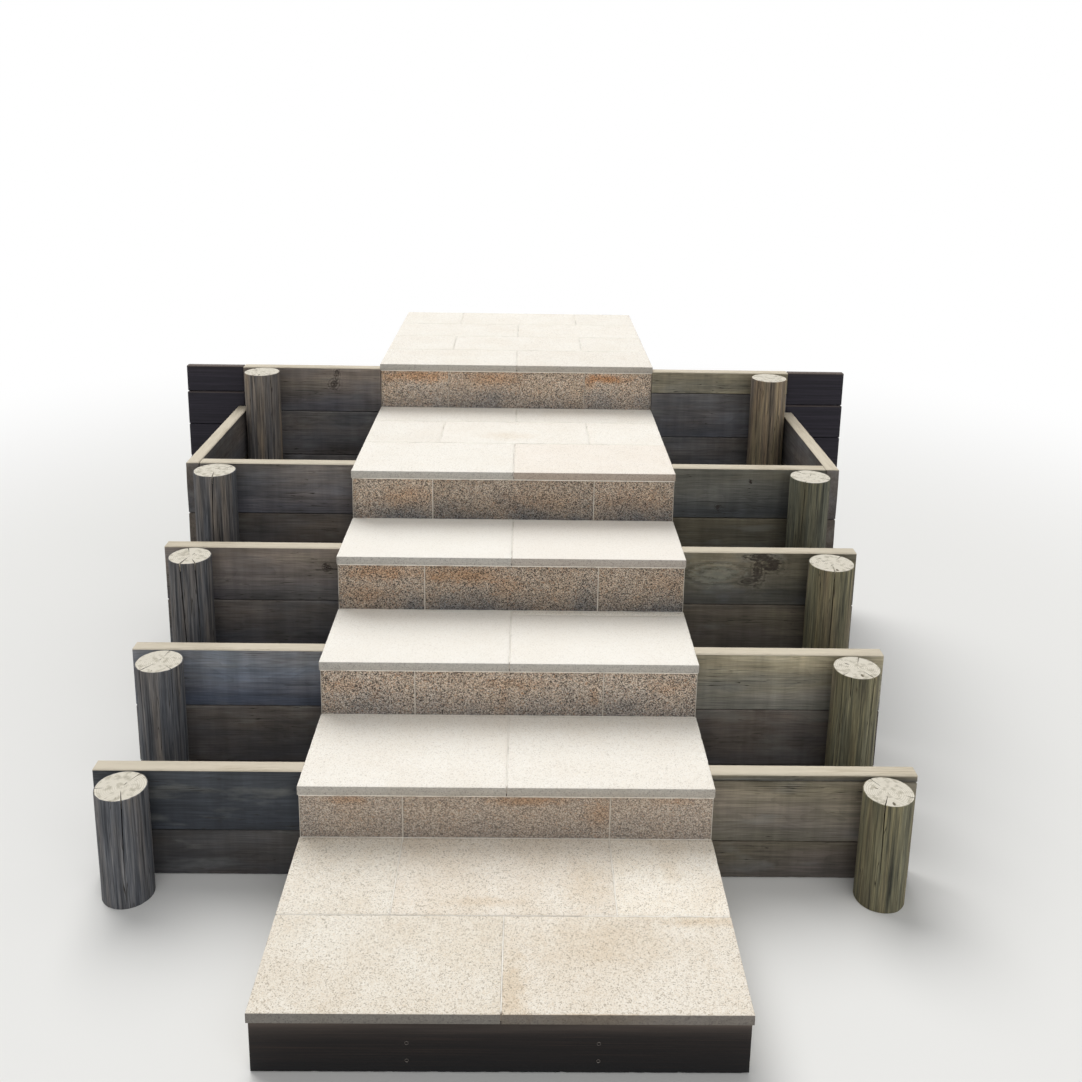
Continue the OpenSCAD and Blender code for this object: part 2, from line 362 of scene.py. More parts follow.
DECK_FIBRE_MM, DECK_BAND_MM = 4.0, 30.0


def dark_stained_board(name, worn_height, trodden, shades):
    """Nearly black oil stain over straight grain, greyer and browner where feet and rain
    wore it, which trodden gives from 0 to 1, and paler along an open upper edge. The
    fibres are drawn at 4 mm, coarser than real."""
    material, add = new_material(name)
    grain = add("Attribute.grain", out="Vector")
    sky = add("Attribute.sky", out="Fac")
    height = add("SeparateXYZ", add("TexCoord", out="Object"), out="Z")
    fine, wide = 1000 / DECK_FIBRE_MM, 1000 / DECK_BAND_MM
    fibre = along_grain(add, grain, (2.5, fine, fine), 4.0, Roughness=0.65)
    patch = along_grain(add, grain, (1.6, wide, wide), 3.0)
    upper = add("MapRange", height, worn_height - 0.07, worn_height)
    uneven = add("MapRange", patch, 0.3, 0.7, 0.5 * trodden, 1.5 * trodden)
    wear = add("Math.MULTIPLY", add("Math.POWER", upper, 2.6), uneven)
    edge = add("Math.MULTIPLY", sky, 0.7)
    low = add("MapRange", height, 0.07, 0.0, 0.0, 0.8 * trodden)
    colour = add("ValToRGB", fibre, stops=list(zip((0.34, 0.52, 0.7), shades)))
    for share, tint in ((wear, "#625750"), (edge, "#6b5f57"), (low, "#0a0c0f")):
        colour = add("MixRGB", share, colour, tint)
    gloss = add("MapRange", fibre, 0.0, 1.0, 0.6, 0.85)
    return coat(material, colour, gloss, 1.46, fibre, 0.5, 0.0012, **{"Specular IOR Level": 0.35})


low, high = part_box("bottom_fascia")
foot_board = sawn_board(high.x - low.x, high.y - low.y, high.z - low.z, seed=3, at=low)
foot_stain = dark_stained_board("dark_stained_deck_board", high.z, 1.0, ("#0a0707", "#161110", "#2a211d"))
set_in_place("foot_board", [foot_board], foot_stain, "stained_timber", "bottom_fascia")

SCREW_X = (-0.224, 0.234)
SCREW_Z = (0.036, 0.086)
HEAD_R, RECESS_R, HEAD_SIDES = 0.005, 0.0019, 24
PROUD, DISH, SUNK, SHANK = 0.0004, 0.0006, 0.0018, 0.004


def stainless_screw():
    """Dull steel, darkened by stain and dirt."""
    material, add = new_material("stainless_screw")
    dirt = add("TexNoise", Vector=add("TexCoord", out="Object"), Scale=600.0, Detail=2.0)
    tone = add("ValToRGB", dirt, stops=[(0.35, "#4a4542"), (0.65, "#75706b")])
    add("OutputMaterial", add("BsdfPrincipled", tone, Metallic=1.0, Roughness=0.5))
    return material


def screw_head(x, y, z):
    """A countersunk head as rings from its back to the floor of its square recess."""
    rings = [(HEAD_R, SHANK, False), (HEAD_R, 0.0, False), (HEAD_R * 0.85, -PROUD, False)]
    rings += [(HEAD_R * 0.62, DISH, False), (RECESS_R, DISH, True), (RECESS_R * 0.8, SUNK, True)]
    n = HEAD_SIDES
    points = []
    for radius, back, square in rings:
        for a in (2 * math.pi * k / n for k in range(n)):
            reach = radius / max(abs(math.cos(a)), abs(math.sin(a))) if square else radius
            points.append((x + reach * math.cos(a), y + back, z + reach * math.sin(a)))
    ends = [tuple(range(n)), tuple(range(len(points) - n, len(points)))]
    return points, skin_over(len(rings), n) + ends, {}


heads = [screw_head(x, low.y + PROUD, z) for x in SCREW_X for z in SCREW_Z]
set_in_place("foot_board_screws", heads, stainless_screw(), None)


# Mortar: pale cream cement and lime, laid as beds under the pavers, struck off as a
# bead under each nosing, and rubbed into the 3 mm joints nearly level with the stone.
# The pale bead under each nosing also serves as a painted highlight, the light thrown up
# onto the nosing's lower edge.
JOINT = 0.003
SHY, HOLLOW, SUNK_BACK = 0.0001, 0.0002, 0.0004
STRIP_PITCH, SHAKEN = 0.012, 0.0035
END_GAP, STONE_END = 0.003, 0.002


def lime_mortar():
    """Pale cream, matt and grainy, with brown dirt in the joints that have opened."""
    material, add = new_material("lime_mortar")
    place = add("TexCoord", out="Object")
    opened = add("Attribute.opened", out="Fac")
    sand = add("TexNoise", Vector=place, Scale=650.0, Detail=3.0)
    dirt = add("TexNoise", Vector=place, Scale=9.0, Detail=5.0, Roughness=0.7)
    dark = add("MapRange", dirt, 0.5, 0.75, 0.0, 0.25)
    colour = add("ValToRGB", sand, stops=[(0.35, "#f0e8da"), (0.6, "#fffbf2")])
    for share, tint in ((dark, "#a4937c"), (opened, "#6d5843")):
        colour = add("MixRGB", share, colour, tint)
    return coat(material, colour, 0.92, 1.5, sand, 0.6, 0.0007)


mortar = lime_mortar()
finish_node("bedding_mortar", mortar)


def pressed_strip(
    start, end, outline, side, out, seed, uneven=0.0004, open_until=None, soiled=0.0, end_dirt=0.0,
):
    """A strip of mortar from start to end. Its outline is points (sideways, outwards),
    and the points furthest out wander a little, as a finger or a trowel leaves them.
    Up to the place open_until along X the mortar has sunk and dirt lies in the joint,
    soiled is how dirty the rest is, and end_dirt how dirty the end at start."""
    start, end, side, out = Vector(start), Vector(end), Vector(side), Vector(out)
    count = max(2, round((end - start).length / STRIP_PITCH))
    face = max(o for _, o in outline)
    points, opened = [], []
    for k in range(count + 1):
        base = start.lerp(end, k / count)
        sunk = open_until is not None and base.x < open_until + 0.02 * noise.noise(base / 0.02)
        dirt = 0.7 * noise.noise(base / 0.05 + Vector((0, 0, seed))) - 0.1
        dirt = 0.3 if sunk else max(soiled + max(0.0, dirt), end_dirt if k == 0 else 0.0)
        for s, o in outline:
            near = o > face - SHAKEN
            shake = uneven * noise.noise(base / 0.03 + Vector((seed, s * 300, 0))) if near else 0.0
            shake = abs(shake) + (SUNK_BACK if near and sunk else 0.0)
            points.append(base + side * s + out * (o - shake))
            opened.append(dirt)
    n = len(outline)
    ends = [tuple(range(n))[::-1], tuple(range(count * n, (count + 1) * n))]
    return points, skin_over(count + 1, n) + ends, {"opened": opened}


def joint_outline(depth, wide=JOINT):
    """The section of a filled joint, with a slightly hollow face."""
    half, inner, face = wide / 2, wide / 5, -SHY - HOLLOW
    return [(-half, -depth), (half, -depth), (half, -SHY), (inner, face), (-inner, face), (-half, -SHY)]


half_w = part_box("tread_1")[1].x
PAIR, HALVES = (0.0,), (-half_w / 2, half_w / 2)
# Where each row is cut, how worn it is, and how dirty the front ends of its joints are. The treads are given
# little wear, and so more of the pale haze, partly as painted light that lifts treads shaded by the risers
# and walls above.
ROWS = {
    "landing_front_row": (PAIR, 1.0, 0.8), "landing_back_row": (HALVES, 0.9, 0.0),
    "tread_1": (PAIR, 0.25, 0.55), "tread_2": (PAIR, 0.05, 0.55), "tread_3": (PAIR, 0.0, 0.55),
    "tread_4_front_row": (PAIR, 0.2, 0.55), "tread_4_middle_row": (HALVES, 0.2, 0.0),
    "tread_4_back_row": (PAIR, 0.2, 0.0), "top_landing_row_1": (PAIR, 0.34, 0.55),
    "top_landing_row_2": (HALVES, 0.3, 0.0), "top_landing_row_3": (PAIR, 0.3, 0.0),
    "top_landing_row_4": (HALVES, 0.3, 0.0),
}
RISERS = [f"riser_{i}" for i in range(1, 6)]
PAVER_JOINT, TILE_JOINT = joint_outline(0.02), joint_outline(0.016)
END_JOINT = joint_outline(0.016, JOINT / 2)
ALONG_X, ALONG_Y, UP, FORWARD, DOWN = (1, 0, 0), (0, 1, 0), (0, 0, 1), (0, -1, 0), (0, 0, -1)
OPEN_UNTIL = {"landing_front_row": 0.21}
joints = []
for seed, (row, (cuts, _, end_dirt)) in enumerate(ROWS.items()):
    low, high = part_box(row)
    for x in cuts:
        ends = (x, low.y + STONE_END, high.z), (x, high.y, high.z)
        joints.append(pressed_strip(*ends, PAVER_JOINT, ALONG_X, UP, seed, end_dirt=end_dirt))
    if row != "top_landing_row_4":
        back = high.y + JOINT / 2
        ends = (low.x + END_GAP, back, high.z), (high.x - END_GAP, back, high.z)
        until = OPEN_UNTIL.get(row)
        joints.append(pressed_strip(*ends, PAVER_JOINT, ALONG_Y, UP, seed + 40, open_until=until))
infill_low, infill_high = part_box("tread_2_infill")
back = infill_low.y - JOINT / 2
ends = (JOINT / 2, back, infill_high.z), (half_w - END_GAP, back, infill_high.z)
joints.append(pressed_strip(*ends, PAVER_JOINT, ALONG_Y, UP, 90))
for seed, riser in enumerate(RISERS):
    low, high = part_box(riser)
    dirty = 0.6 if riser == "riser_5" else 0.43
    for x in (low.x + JOINT / 4, *HALVES, high.x - JOINT / 4):
        ends = (x, low.y, low.z + STONE_END), (x, low.y, high.z)
        outline = TILE_JOINT if x in HALVES else END_JOINT
        joints.append(pressed_strip(*ends, outline, ALONG_X, FORWARD, seed + 60, soiled=dirty))
set_in_place("filled_joints", joints, mortar, "mortar")

# A pale bead of mortar under each nosing, which is also a painted highlight of the light thrown up onto its
# lower edge.
BEAD = [(0.0, 0.0), (0.0, 0.0046), (-0.0060, 0.0044), (-0.0085, 0.0036), (-0.0088, 0.0)]
BED, BEAD_END = 0.004, 0.001
bead_highlights = []
for seed, riser in enumerate(RISERS):
    low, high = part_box(riser)
    ends = (low.x + BEAD_END, low.y, high.z + BED), (high.x - BEAD_END, low.y, high.z + BED)
    bead_highlights.append(pressed_strip(*ends, BEAD, ALONG_Y, DOWN, seed + 80, uneven=0.0011, soiled=0.15))
set_in_place("nosing_bead_highlights", bead_highlights, mortar, "mortar")


# Pavers and riser tiles: pale granite with buff feldspar, grey quartz and small dark
# mica. Wide faces are flamed, which opens the grain, and edges are sawn and greyer.
# Each slab is set by hand, so no two lie quite alike, and the arrises have chips.
EDGE_STEP, FRONT_STEP = 0.014, 0.006
ARRIS_STONE, CHIP, CHIP_LENGTH, CHIP_FROM = 0.0010, 0.0034, 0.016, 0.32
ROUNDED, ROUND_LENGTH = 0.35, 0.05
FOOT, INNER_RING = 0.0008, 0.012
STAIN_MARKS = ("stain_one", "stain_two", "stain_three", "stain_four")


def granite_slab(
    wide, deep, thick, seed, at=(0, 0, 0), lean=0.0004, age=0.4, rosy=0.0, tone=1.0, stains=(),
):
    """A slab from its low corner with its flamed face up. stains are (x, y, reach along x,
    reach along y, strength). Marks: slab is its own random number, face is 1 on the
    flamed face and 0 on the edges, rise is 0 to 1 along y, age is how worn it is
    and with it how much painted shade it carries, rosy how pink its feldspar is and tone how light it is."""
    rng = random.Random(seed)
    shift = Vector((seed * 2.1, seed * 1.3, seed * 0.7))
    across = np.linspace(0, wide, max(2, round(wide / FRONT_STEP)) + 1)
    along = np.linspace(0, deep, max(2, round(deep / EDGE_STEP)) + 1)
    rim = [(x, 0.0) for x in across[:-1]] + [(wide, y) for y in along[:-1]]
    rim += [(x, deep) for x in across[:0:-1]] + [(0.0, y) for y in along[:0:-1]]
    arris = []
    for x, y in rim:
        here = Vector((x, y, 0))
        chip = max(0.0, noise.noise(here / CHIP_LENGTH + shift) - CHIP_FROM) * 2.2
        arris.append(ARRIS_STONE * (1 + ROUNDED * noise.noise(here / ROUND_LENGTH + shift)) + CHIP * chip)
    # Each ring's inset and height, as a length and a share of the arris, and its face mark
    rings = [
        (FOOT, 0.0, 0.0, 0.0, 0.0), (0.0, 0.0, FOOT, 0.0, 0.0), (0.0, 0.0, thick, -1.2, 0.0),
        (0.0, 0.35, thick, -0.4, 0.4), (0.0, 1.0, thick, 0.0, 1.0), (INNER_RING, 0.0, thick, 0.0, 1.0),
    ]
    points, face_marks = [], []
    for inset, inset_share, height, height_share, on_face in rings:
        for (x, y), c in zip(rim, arris):
            pull = inset + inset_share * c
            spot = min(max(x, pull), wide - pull), min(max(y, pull), deep - pull)
            points.append((*spot, height + height_share * c))
            face_marks.append(on_face)
    n = len(rim)
    ends = [tuple(range(n))[::-1], tuple(range(len(points) - n, len(points)))]
    local = np.array(points)
    dip_x, dip_y = rng.uniform(-1, 1), rng.uniform(-1, 1)
    off_x, off_y = 2 * local[:, 0] / wide - 1, 2 * local[:, 1] / deep - 1
    local[:, 2] -= lean * (1 + 0.5 * dip_x * off_x + 0.5 * dip_y * off_y) * (local[:, 2] > thick / 2)
    slab = rng.random()
    marks = {"slab": slab, "face": face_marks, "rise": local[:, 1] / deep}
    marks |= {"age": age, "rosy": rosy, "tone": tone * (0.98 + 0.04 * slab)}
    marks |= blot_marks(STAIN_MARKS, stains, local[:, 0], local[:, 1])
    return local + np.array(at), skin_over(len(rings), n) + ends, marks


def distance(add, a, b):
    """How far the place (a, b) lies from the middle."""
    return add("VectorMath.LENGTH", add("CombineXYZ", a, b), out="Value")


def blot(add, mark):
    """How far a place lies from the middle of a stain or knot, and how strong that is."""
    parts = add("SeparateXYZ", add("Attribute." + mark, out="Vector")).node.outputs
    return distance(add, parts["X"], parts["Y"]), parts["Z"]


def granite(name, flamed, sawn, haze, grain_mm, cloud, stain, upright=False):
    """Crystals of a few shades set close together, each shade with its share of them,
    in loose clusters, clouded and stained brown by iron. A thin cement haze is left on
    slabs that are little worn. Painted shade darkens the foot of an upright tile, bluish as
    open shade is, and the sawn edges of a worn paver. The real crystals are 1 to 4 mm, drawn at grain_mm."""
    material, add = new_material(name)
    slab, face, rise, age, rosy, tone = (
        add("Attribute." + mark, out="Fac")
        for mark in ("slab", "face", "rise", "age", "rosy", "tone")
    )
    jump = add("VectorMath.SCALE", (31.0, 17.0, 23.0), Scale=slab)
    spot = add("VectorMath.ADD", add("TexCoord", out="Object"), jump)
    bend = add("TexNoise", Vector=spot, Scale=900 / grain_mm, Detail=1.0, out="Color")
    bend = add("VectorMath.SUBTRACT", bend, (0.5, 0.5, 0.5))
    bend = add("VectorMath.SCALE", bend, Scale=grain_mm * 0.0011)
    bent = add("VectorMath.ADD", spot, bend)
    crystal = add("TexVoronoi", Vector=bent, Scale=1000 / grain_mm, out="Color")
    group = add("TexNoise", Vector=spot, Scale=260 / grain_mm, Detail=2.0)
    group = add("MapRange", group, 0.3, 0.7, -0.14, 0.14)
    pick = add("Math.ADD", add("SeparateColor", crystal, out="Red"), group)
    tones = []
    for shades in (sawn, flamed):
        stops, share = [], 0.0
        for part, colour in shades:
            stops.append((share, colour))
            share += part
        tones.append(add("ValToRGB", pick, stops=stops))
        tones[-1].node.color_ramp.interpolation = "CONSTANT"
    fresh = add("MapRange", age, 0.0, 0.7, 0.75, 0.0)
    stone = add("MixRGB", face, tones[0], add("MixRGB", fresh, tones[1], haze))
    broad = add("TexNoise", Vector=spot, Scale=6.0, Detail=4.0, Roughness=0.6)
    most = add("MapRange", age, 0.0, 1.0, 0.2 * cloud, cloud)
    warm = add("MapRange", broad, 0.38, 0.68, 0.0, most)
    pink = add("Math.MULTIPLY", rosy, add("MapRange", face, 0.0, 1.0, 1.0, 0.25))
    # Painted shade: a bluish darkening up from the foot of a riser tile, and a grey darkening of a worn
    # paver's sawn edges.
    if upright:
        foot = add("Math.MULTIPLY_ADD", broad, 1.2, rise)
        painted_shade = add("Math.MULTIPLY", add("MapRange", foot, 1.3, 0.7), age)
    else:
        painted_shade = add("MapRange", add("Math.SUBTRACT", age, face), 0.5, 1.0)
    layers = [(warm, "#dfcfb9"), (age, "#f5f1ea"), (pink, "#efe2da"), (1.0, tone)]
    layers.append((painted_shade, "#a0abba" if upright else "#b5b7bb"))
    ragged = add("TexNoise", Vector=spot, Scale=32.0, Detail=4.0, Roughness=0.7)
    for mark in STAIN_MARKS:
        away, strength = blot(add, mark)
        soak = add("MapRange", add("Math.MULTIPLY_ADD", ragged, 1.8, away), 2.1, 1.2)
        layers.append((add("Math.MULTIPLY", soak, strength), stain))
    for share, tint in layers:
        stone = add("MixRGB.MULTIPLY", share, stone, tint)
    rough = add("TexNoise", Vector=spot, Scale=1000 / grain_mm, Detail=3.0)
    strength = add("MapRange", face, 0.0, 1.0, 0.12, 0.55)
    return coat(material, stone, 0.82, 1.54, rough, strength, 0.0012)


# The sawn shades of the pavers are darker than the stone alone: partly painted shade of the nosing fronts.
flamed_granite = granite(
    "flamed_pale_granite",
    flamed=[(0.08, "#bfb7ab"), (0.18, "#e2dcd1"), (0.36, "#f7f3eb"), (0.27, "#fefcf7"), (0.11, "#f0e8db")],
    sawn=[(0.10, "#96928d"), (0.25, "#aca8a2"), (0.45, "#b6b2ab"), (0.20, "#bfbbb4")],
    haze="#fcf7ed", grain_mm=2.5, cloud=0.32, stain="#e8dac6",
)
# The riser shades are darker than the stone alone: partly painted shade of the riser faces.
rough_granite = granite(
    "flamed_buff_granite",
    flamed=[(0.24, "#433c38"), (0.21, "#8c8076"), (0.28, "#c4b5a7"), (0.21, "#e6dccf"), (0.06, "#b48f72")],
    sawn=[(0.15, "#8f877b"), (0.35, "#b5ac9e"), (0.50, "#cfc7b9")],
    haze="#ab9e90", grain_mm=2.4, cloud=0.4, stain="#f8dcc0", upright=True,
)

# The slabs that are pink, light or stained, numbered from the left
PAVERS = {
    ("landing_front_row", 0): {"stains": [(500, 200, 120, 100, 0.25)]},
    ("landing_front_row", 1): {"rosy": 0.4, "stains": [
        (20, 70, 50, 130, 0.55), (240, 240, 200, 90, 0.35), (520, 310, 120, 22, 0.6), (220, 0, 170, 4, 0.6),
    ]},
    ("landing_back_row", 1): {"rosy": 0.6, "stains": [(250, 50, 120, 20, 0.45), (520, 120, 70, 120, 0.4)]},
    ("landing_back_row", 2): {"tone": 1.08, "stains": [(160, 170, 30, 50, 0.3)]},
    ("tread_3", 1): {"rosy": 0.5},
    ("tread_4_front_row", 1): {"rosy": 1.0, "tone": 1.05},
    ("tread_4_middle_row", 1): {"stains": [(280, 100, 120, 60, 0.3)]},
    ("top_landing_row_1", 1): {"rosy": 0.15},
}
for number, (row, (cuts, age, _)) in enumerate(ROWS.items()):
    low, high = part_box(row)
    slabs = []
    edges = [low.x, *cuts, high.x]
    for k, (x0, x1) in enumerate(zip(edges, edges[1:])):
        x0 += JOINT / 2 if k else 0.0
        x1 -= JOINT / 2 if x1 != high.x else 0.0
        back = infill_low.y - JOINT if (row, k) == ("tread_2", 1) else high.y
        slabs.append(granite_slab(
            x1 - x0, back - low.y, high.z - low.z, 10 * number + k, at=(x0, low.y, low.z),
            age=age, **PAVERS.get((row, k), {}),
        ))
    set_in_place(row + "_pavers", slabs, flamed_granite, "granite_paver", row, sharp=60.0)
strip = [granite_slab(*(infill_high - infill_low), seed=7, at=infill_low)]
set_in_place("tread_2_infill_strip", strip, flamed_granite, "granite_paver", "tread_2_infill", sharp=60.0)

# How much painted shade darkens each riser's foot, which its tiles also take as their wear, and how light
# each of its tiles is, with its iron stains. The top riser's tiles are lighter partly as painted light, the
# light that the tread below throws back onto them.
TILES = (
    (
        0.38, (0.97, (130, 150, 80, 14, 0.6), (145, 130, 50, 30, 0.2)),
        (1.0, (355, 150, 130, 18, 0.8), (570, 110, 50, 50, 0.5)), (1.02, (180, 150, 80, 16, 0.4)),
    ),
    (
        0.7, (1.04, (80, 125, 80, 30, 0.35), (170, 110, 20, 40, 0.3)),
        (1.06, (300, 140, 140, 20, 0.4), (280, 80, 15, 60, 0.4), (570, 100, 15, 50, 0.5)),
        (1.05, (210, 130, 70, 25, 0.4)),
    ),
    (
        1.0, (0.97, (150, 166, 140, 30, 0.8), (90, 85, 100, 30, 0.45)),
        (0.88, (120, 158, 180, 34, 0.8), (280, 120, 60, 40, 0.45)), (0.91, (240, 140, 80, 30, 0.3)),
    ),
    (
        1.0, (1.03, (205, 105, 120, 45, 0.5)),
        (0.82, (360, 105, 160, 50, 0.3)), (0.94, (130, 105, 150, 55, 0.4)),
    ),
    (
        0.85, (1.23, (140, 172, 210, 32, 0.9), (220, 165, 120, 26, 0.3)),
        (1.14, (205, 165, 120, 32, 0.6), (150, 150, 200, 50, 0.3)),
        (1.19, (90, 166, 120, 24, 1.0), (90, 167, 100, 20, 0.6), (25, 145, 30, 30, 0.6)),
    ),
)
for number, (riser, (foot_shade, *looks)) in enumerate(zip(RISERS, TILES)):
    low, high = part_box(riser)
    tiles = []
    edges = [low.x, *HALVES, high.x]
    for k, (x0, x1, (tone, *stains)) in enumerate(zip(edges, edges[1:], looks)):
        points, faces, marks = granite_slab(
            x1 - x0 - JOINT, high.z - low.z, high.y - low.y, 200 + 10 * number + k,
            lean=0.0002, age=foot_shade, tone=tone, stains=stains,
        )
        upright = np.stack([x0 + JOINT / 2 + points[:, 0], high.y - points[:, 2], low.z + points[:, 1]], 1)
        tiles.append((upright, faces, marks))
    set_in_place(riser + "_tiles", tiles, rough_granite, "granite_riser", riser, sharp=60.0)


# Sleeper walls: treated pine, 200 x 50 mm, sawn and set on edge, stacked up from the
# ground. Sun and rain have turned the faces grey, olive and brown in drifts, paled the
# tops by bleaching and opened short splits. The faces are also darker and bluer towards
# their foot, from dampness and painted shade, and the tops paler still as painted
# sunlight. Knots stand dark, with the grain parting round them.
PINE_RING_MM, PINE_FIBRE_MM = 5.0, 1.6


def drifting_colour(add, patch, *shades):
    """The colour of weathered wood: the mark warmth leans it from grey through brown and
    olive to green, and the noise patch lets it drift a little either way."""
    lean = add("Math.ADD", add("Attribute.warmth", out="Fac"), add("MapRange", patch, 0.3, 0.7, -0.14, 0.14))
    return add("ValToRGB", lean, stops=list(zip((0.0, 0.4, 0.7, 0.95), shades)))


def product(add, *factors):
    """The product of factors, each a number, an output or (noise output, least, most)."""
    level = 1.0
    for factor in factors:
        if isinstance(factor, tuple):
            noise_out, least, most = factor
            factor = add("MapRange", noise_out, 0.3, 0.7, least, most)
        level = add("Math.MULTIPLY", level, factor)
    return level


def drying_cracks(add, grain, stretch, wide, where):
    """1 in hairline cracks along the grain, where the noise where is high, and 0 beside."""
    crack = add("Math.SUBTRACT", along_grain(add, grain, stretch, 1.0), 0.5)
    crack = add("MapRange", add("Math.ABSOLUTE", crack), wide, 0.2 * wide)
    return add("Math.MULTIPLY", crack, add("MapRange", where, 0.48, 0.58))


def weathered_pine():
    """Treated pine rough from the saw: growth rings, fibres and broad streaks along the
    board in muted grey, olive and brown, dark round the knots, darker and bluer towards
    its foot from dampness and painted shade, and pale on the top edge from bleaching and
    painted sunlight."""
    material, add = new_material("weathered_treated_pine")
    grain = add("Attribute.grain", out="Vector")
    tone, wet, sky = (add("Attribute." + mark, out="Fac") for mark in ("tone", "wet", "sky"))
    ragged = along_grain(add, grain, (45.0, 140.0, 140.0), 6.0, Roughness=0.75)
    near, core, dry_core = 9.0, 0.0, 0.0
    for mark in KNOT_MARKS:
        reach, darkness = blot(add, mark)
        inside = add("MapRange", add("Math.MULTIPLY_ADD", ragged, 7.0, reach), 4.8, 4.0)
        inside = add("Math.MULTIPLY", inside, darkness)
        core = add("Math.MAXIMUM", core, inside)
        dry_core = add("Math.MINIMUM", dry_core, inside)
        near = add("Math.MINIMUM", near, add("Math.MULTIPLY_ADD", ragged, 0.8, reach))
    dry_core = add("Math.MULTIPLY", dry_core, -1.0)
    fine = 1000 / PINE_FIBRE_MM
    drift = partial(along_grain, add, grain, (2.6, 9.0, 9.0))
    patch = drift(5.0, Roughness=0.6)
    wander = drift(2.0, Scale=1.3)
    blotch = drift(4.0, Scale=1.2, W=3.0, noise_dimensions="4D")
    salt = drift(5.0, Scale=2.2, W=7.0, noise_dimensions="4D")
    fibre = along_grain(add, grain, (9.0, fine, fine), 3.0, Roughness=0.6)
    streak = along_grain(add, grain, (1.6, 70.0, 70.0), 5.0, Roughness=0.65)
    runs = along_grain(add, grain, (26.0, 26.0, 2.5), 4.0, Roughness=0.6)
    parts = add("SeparateXYZ", grain).node.outputs
    radius = add("Math.MULTIPLY_ADD", wander, 0.045, distance(add, parts["Y"], parts["Z"]))
    swell = add("MapRange", near, 3.2, 1.0, 0.0, 0.02, interpolation_type="SMOOTHSTEP")
    years = add("Math.MULTIPLY", add("Math.ADD", radius, swell), 1000 / PINE_RING_MM)
    late = add("MapRange", add("Math.FRACT", years), 0.5, 0.95, 1.04, 0.9)
    whorl = add("Math.SINE", add("Math.MULTIPLY", near, 10.0))
    shown = add("MapRange", near, 2.4, 1.3, 0.0, 0.4)
    whorl = add("Math.MULTIPLY_ADD", whorl, shown, 1.0)
    level = product(
        add, tone, late, whorl,
        (fibre, 0.7, 1.3), (streak, 0.76, 1.24), (blotch, 0.6, 1.4), (runs, 0.84, 1.16),
    )
    wood = drifting_colour(add, patch, "#646970", "#746a61", "#726b59", "#69675e")
    wood = add("MixRGB.MULTIPLY", 1.0, wood, level)
    wood = add("MixRGB", add("MapRange", salt, 0.56, 0.7, 0.0, 0.35), wood, "#8f8f88")
    # Painted shade as well as dampness: the foot of each board is darkened towards blue.
    wood = add("MixRGB.MULTIPLY", wet, wood, "#bac2d5")
    crack = drying_cracks(add, grain, (3.0, 130.0, 130.0), 0.012, patch)
    pale = add("ValToRGB", add("Math.ADD", fibre, patch), stops=[(0.75, "#b8ab93"), (1.0, "#dacfba")])
    # The top edge is paler partly from bleaching and partly as painted sunlight.
    bleached_and_sunlit = add("Math.MULTIPLY", sky, 0.94)
    for share, tint in ((crack, "#26221c"), (dry_core, "#8a8a7c"), (core, "#241a14"), (bleached_and_sunlit, pale)):
        wood = add("MixRGB", share, wood, tint)
    height = add("Math.SUBTRACT", fibre, crack)
    return coat(material, wood, 0.85, 1.45, height, 0.55, 0.0015)


sawn_pine = weathered_pine()

SLEEPER_H = 0.200
BOARD_GAP = 0.002
LEAST_BOARD = 0.030
FACE_PITCH, LOWER_PITCH = 0.010, 0.018
TOP_BOARD = {"right_wall_1": 0.024, "right_wall_5": 0.098}
# How light, how far from grey and how dark and blue at its foot, from dampness and painted shade, the top
# board of each wall is. The lower warmth of the left walls, and the low tone of the first, are painted shade.
FACES = {
    "left_wall_1": (0.37, -0.10, 0.5), "left_wall_2": (1.36, 0.08, 1.0), "left_wall_3": (1.22, 0.40, 1.0),
    "left_wall_4": (1.05, 0.26, 1.0), "left_wall_5": (1.18, 0.38, 1.0),
    "right_wall_1": (1.3, 0.70, 1.0), "right_wall_2": (2.6, 0.70, 1.0), "right_wall_3": (0.94, 0.70, 1.0),
    "right_wall_4": (0.88, 0.95, 1.0), "right_wall_5": (1.9, 0.72, 0.15),
}
# The same for the boards below, and for one under a packing board
LOWER_FACE = (0.8, 0.3, 0.6)
UNDER_PACKING = {"right_wall_1": (1.4, 0.6), "right_wall_5": (1.1, 0.2)}
# Knots and splits on the top board of a wall, a dry pale one with its darkness below 0
KNOTS = {
    "left_wall_3": [(561, 127, 12, 12, 1.0)],
    "left_wall_5": [(395, 125, 19, 19, 0.7), (408, 165, 12, 30, 0.6)],
    "right_wall_3": [
        (125, 118, 85, 32, -0.5), (268, 180, 40, 19, 0.85), (311, 153, 34, 26, 0.85),
        (266, 130, 20, 46, 0.8), (234, 90, 34, 13, 0.6),
    ],
    "right_wall_4": [(295, 148, 6, 6, 1.0), (176, 46, 10, 10, 0.8)],
}
SPLITS = {"right_wall_4": [(0.062, 0.02, 0.34, 0.005)]}


def down_to_ground(top, first, others):
    """The foot and the height of each board from the top one down, with none that is a
    sliver; first is the height of the top one and others that of the rest."""
    boards, tall = [], first
    while top > 0:
        foot = top - tall
        if foot <= LEAST_BOARD:
            foot = 0.0
        boards.append((foot, top - foot))
        top, tall = foot - BOARD_GAP, others
    return boards


